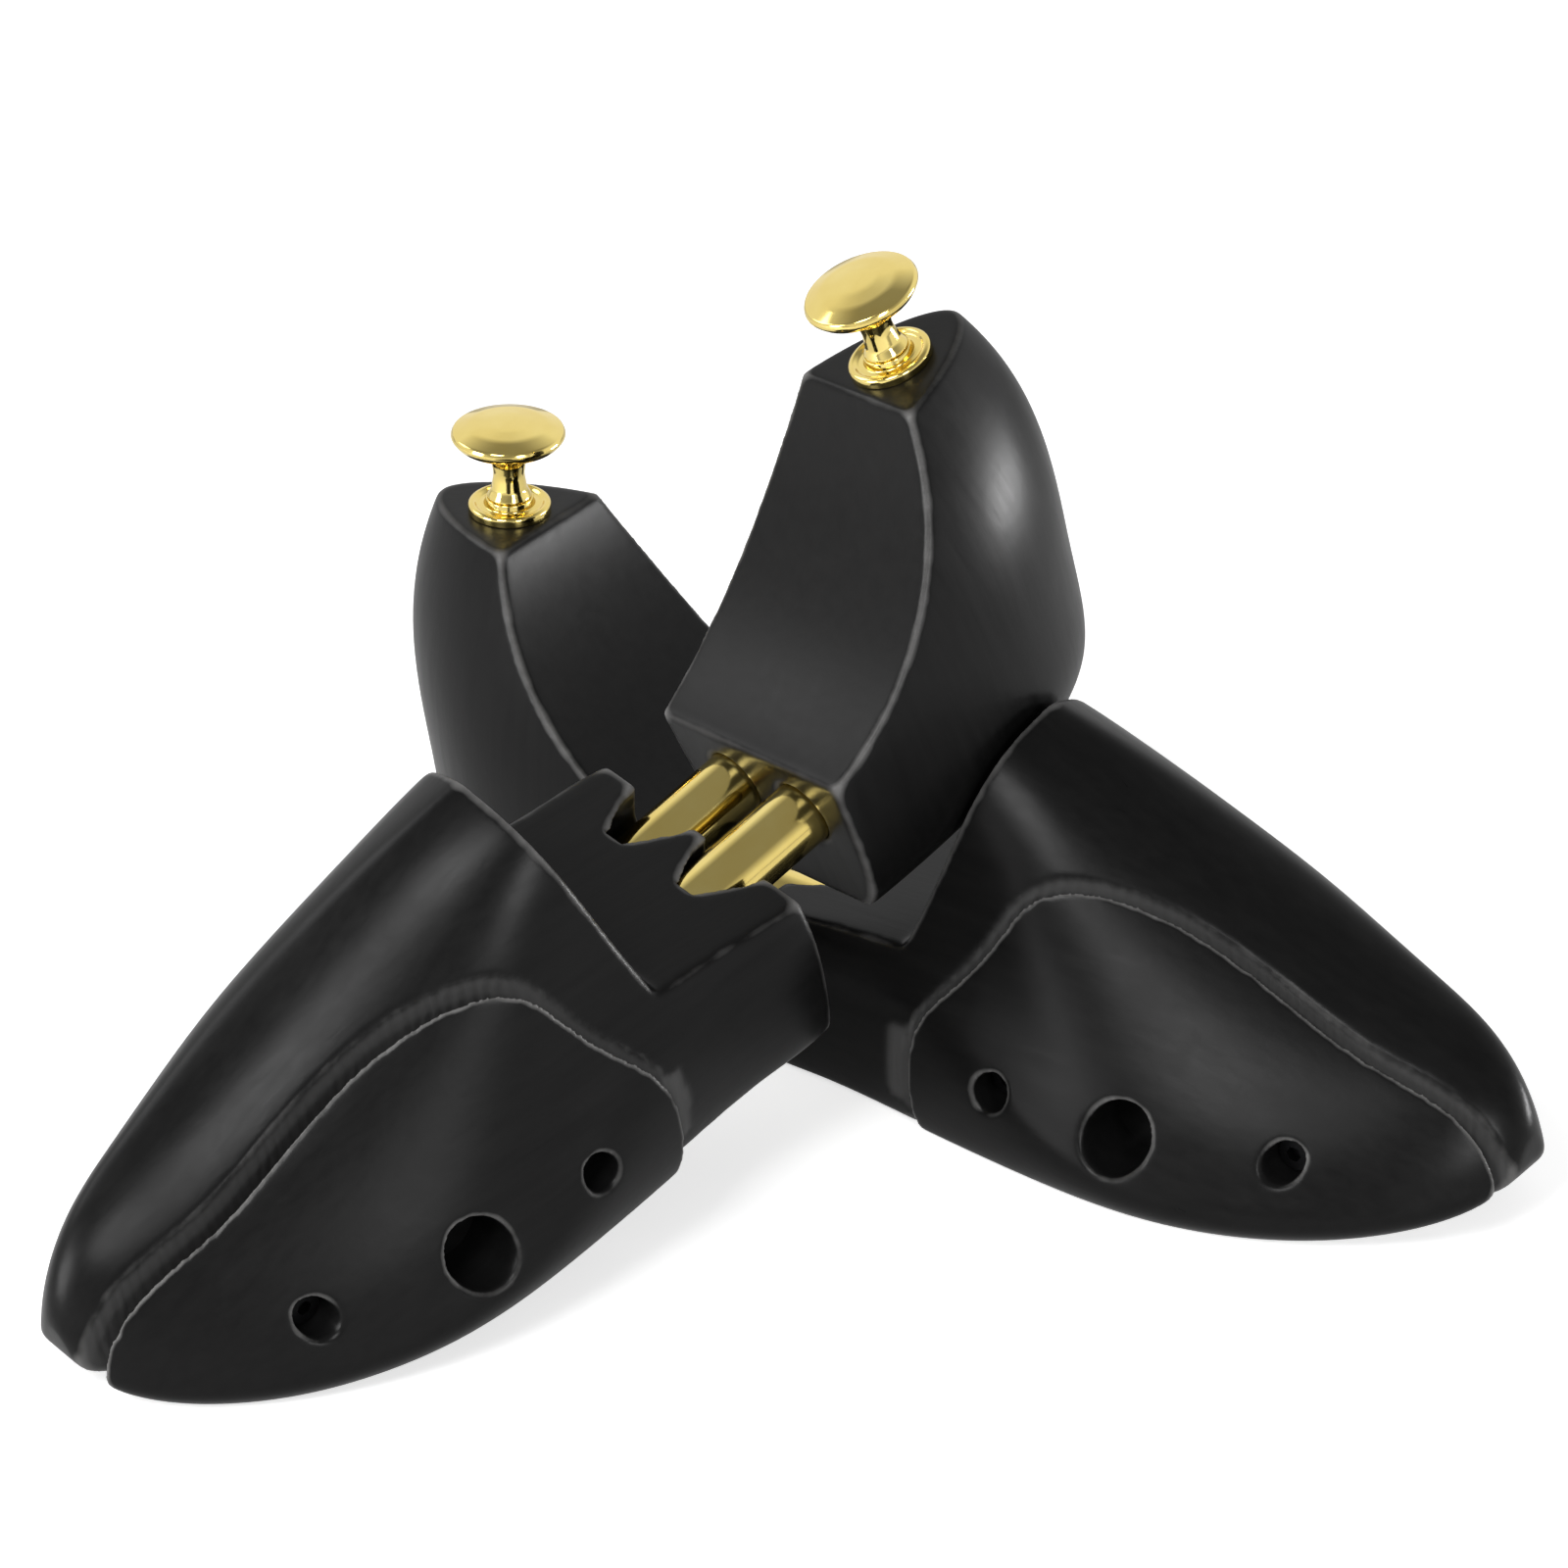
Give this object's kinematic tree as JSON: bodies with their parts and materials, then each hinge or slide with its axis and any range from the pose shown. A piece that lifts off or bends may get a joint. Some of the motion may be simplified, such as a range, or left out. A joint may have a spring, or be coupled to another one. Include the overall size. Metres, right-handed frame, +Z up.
{
  "type": "shoe stretcher",
  "caption": "Crossed pair of black wooden shoe trees: each has a split toe with a spring-loaded wing and a sprung heel on brass tubes with a mushroom knob.",
  "frame": {"origin": "middle of the pair's box, on the surface that it lies on", "axes": "+X to the right along the pair's longest side as pictured, +Y away from the viewer, +Z up"},
  "size_m": [0.3035, 0.235, 0.1746],
  "materials": {
    "stained_wood": "black stain, satin lacquer",
    "brass": "polished",
    "steel": "plain drawn steel"
  },
  "bodies": {
    "right_forefoot": {"right_forefoot_block": "stained_wood", "right_spring_anchor_outer": "steel", "right_spring_anchor_inner": "steel", "right_wing_screw_front": "steel", "right_wing_screw_rear": "steel"},
    "right_heel": {"right_heel_block": "stained_wood", "right_tube_outer": "brass", "right_tube_inner": "brass", "right_spring_seat_outer": "steel", "right_spring_seat_inner": "steel", "right_heel_spring_outer": "steel", "right_heel_spring_inner": "steel", "right_knob": "brass", "right_knob_rosette": "brass", "right_knob_stud": "steel"},
    "right_wing": {"right_toe_wing": "stained_wood", "right_wing_spring_plug": "stained_wood", "right_wing_spring": "steel"},
    "left_forefoot": {"left_forefoot_block": "stained_wood", "left_spring_anchor_outer": "steel", "left_spring_anchor_inner": "steel", "left_wing_screw_front": "steel", "left_wing_screw_rear": "steel"},
    "left_heel": {"left_heel_block": "stained_wood", "left_tube_outer": "brass", "left_tube_inner": "brass", "left_spring_seat_outer": "steel", "left_spring_seat_inner": "steel", "left_heel_spring_outer": "steel", "left_heel_spring_inner": "steel", "left_knob": "brass", "left_knob_rosette": "brass", "left_knob_stud": "steel"},
    "left_wing": {"left_toe_wing": "stained_wood", "left_wing_spring_plug": "stained_wood", "left_wing_spring": "steel"}
  },
  "joints": [
    {"name": "right_heel_slide", "type": "slide", "parent": "right_forefoot", "child": "right_heel", "axis": [-0.8039, 0.5948, 0], "range_m": [-0.018, 0], "stiffness_N_per_m": 3400, "deforming": ["right_heel_spring_outer", "right_heel_spring_inner"]},
    {"name": "right_wing_slide", "type": "slide", "parent": "right_forefoot", "child": "right_wing", "axis": [-0.5948, -0.8039, 0], "range_m": [-0.0014, 0], "stiffness_N_per_m": 5600, "springref_m": 0.002, "deforming": ["right_wing_spring"]},
    {"name": "left_heel_slide", "type": "slide", "parent": "left_forefoot", "child": "left_heel", "axis": [0.7133, 0.6045, 0.3546], "range_m": [-0.015, 0], "stiffness_N_per_m": 3400, "deforming": ["left_heel_spring_outer", "left_heel_spring_inner"]},
    {"name": "left_wing_slide", "type": "slide", "parent": "left_forefoot", "child": "left_wing", "axis": [0.636, -0.7671, -0.0843], "range_m": [-0.0036, 0], "stiffness_N_per_m": 5600, "springref_m": 0.002, "deforming": ["left_wing_spring"]},
    {"name": "left_lift", "type": "slide", "parent": "right_forefoot", "child": "left_forefoot", "axis": [0, 0, 1], "range_m": [0, 0.16]}
  ]
}
